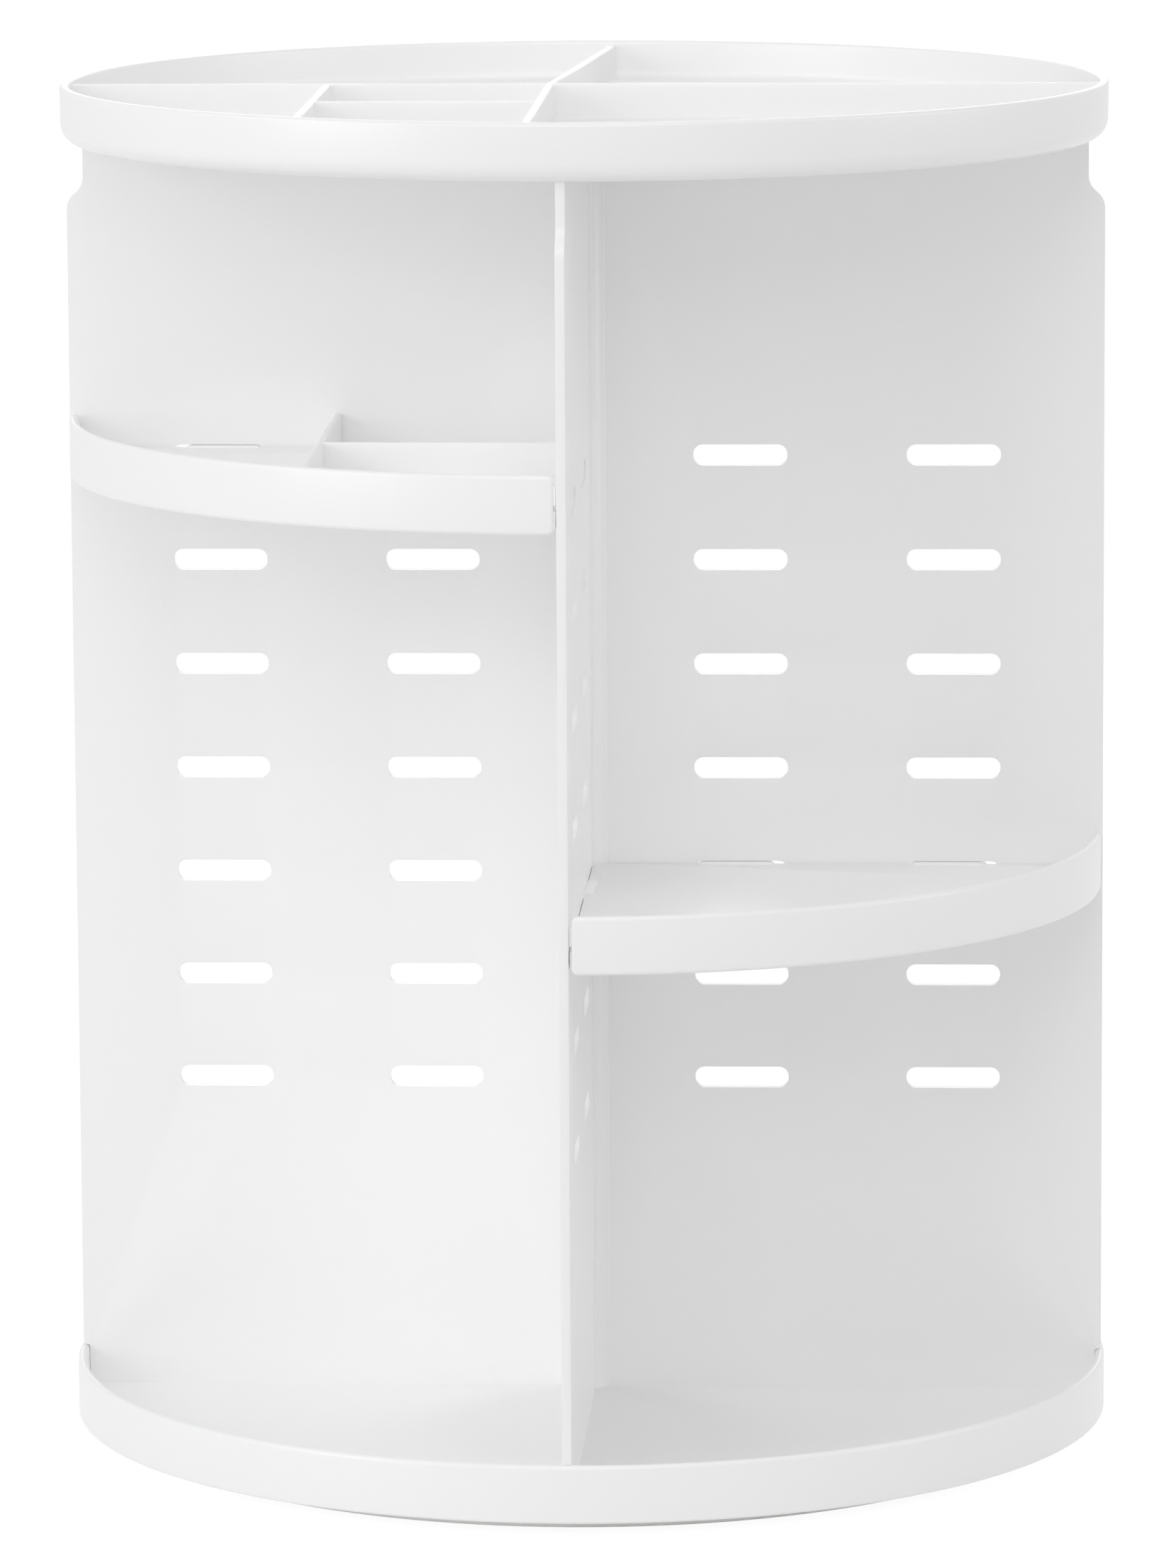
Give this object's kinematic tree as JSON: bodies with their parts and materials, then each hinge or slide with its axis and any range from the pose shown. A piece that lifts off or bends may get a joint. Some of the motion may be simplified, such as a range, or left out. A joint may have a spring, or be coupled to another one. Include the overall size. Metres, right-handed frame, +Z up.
{
  "type": "rotating makeup organizer",
  "caption": "Round rotating makeup organizer: slotted cross walls on a turntable base, removable quarter shelves and a divided top tray.",
  "frame": {"origin": "on the table under the turning axis", "axes": "+Z up along the turning axis, -Y towards the front wall panel's edge, +X to the right seen from the front"},
  "size_m": [0.23, 0.23, 0.302],
  "materials": {
    "white_plastic": "glossy white injection moulding",
    "foot_plastic": "satin white injection moulding",
    "pad_rubber": "matt rubber",
    "steel": "bright zinc or polished steel",
    "cage_plastic": "natural nylon"
  },
  "bodies": {
    "foot": {"foot_plate": "foot_plastic", "foot_pads": "pad_rubber"},
    "bearing": {"bearing_balls": "steel", "ball_cage": "cage_plastic"},
    "carousel": {"base_tray": "white_plastic", "left_wall": "white_plastic", "right_wall": "white_plastic", "front_wall": "white_plastic", "rear_wall": "white_plastic", "centre_post": "white_plastic", "pivot_washer": "steel", "pivot_screw": "steel"},
    "top_tray": {"top_tray": "white_plastic"},
    "left_shelf": {"left_shelf": "white_plastic"},
    "right_shelf": {"right_shelf": "white_plastic"}
  },
  "joints": [
    {"name": "turntable_spin", "type": "hinge", "parent": "foot", "child": "carousel", "pos_m": [0, 0, 0], "axis": [0, 0, 1], "continuous": true},
    {"name": "bearing_roll", "type": "hinge", "parent": "foot", "child": "bearing", "pos_m": [0, 0, 0], "axis": [0, 0, 1], "continuous": true},
    {"name": "left_shelf_pull", "type": "slide", "parent": "carousel", "child": "left_shelf", "axis": [-0.7071, -0.7071, 0], "range_m": [0, 0.13]},
    {"name": "right_shelf_pull", "type": "slide", "parent": "carousel", "child": "right_shelf", "axis": [0.7071, -0.7071, 0], "range_m": [0, 0.13]},
    {"name": "top_tray_lift", "type": "slide", "parent": "carousel", "child": "top_tray", "axis": [0, 0, 1], "range_m": [0, 0.06]}
  ],
  "couplings": [
    {"joint": "bearing_roll", "follows": "turntable_spin", "ratio": 0.5}
  ]
}
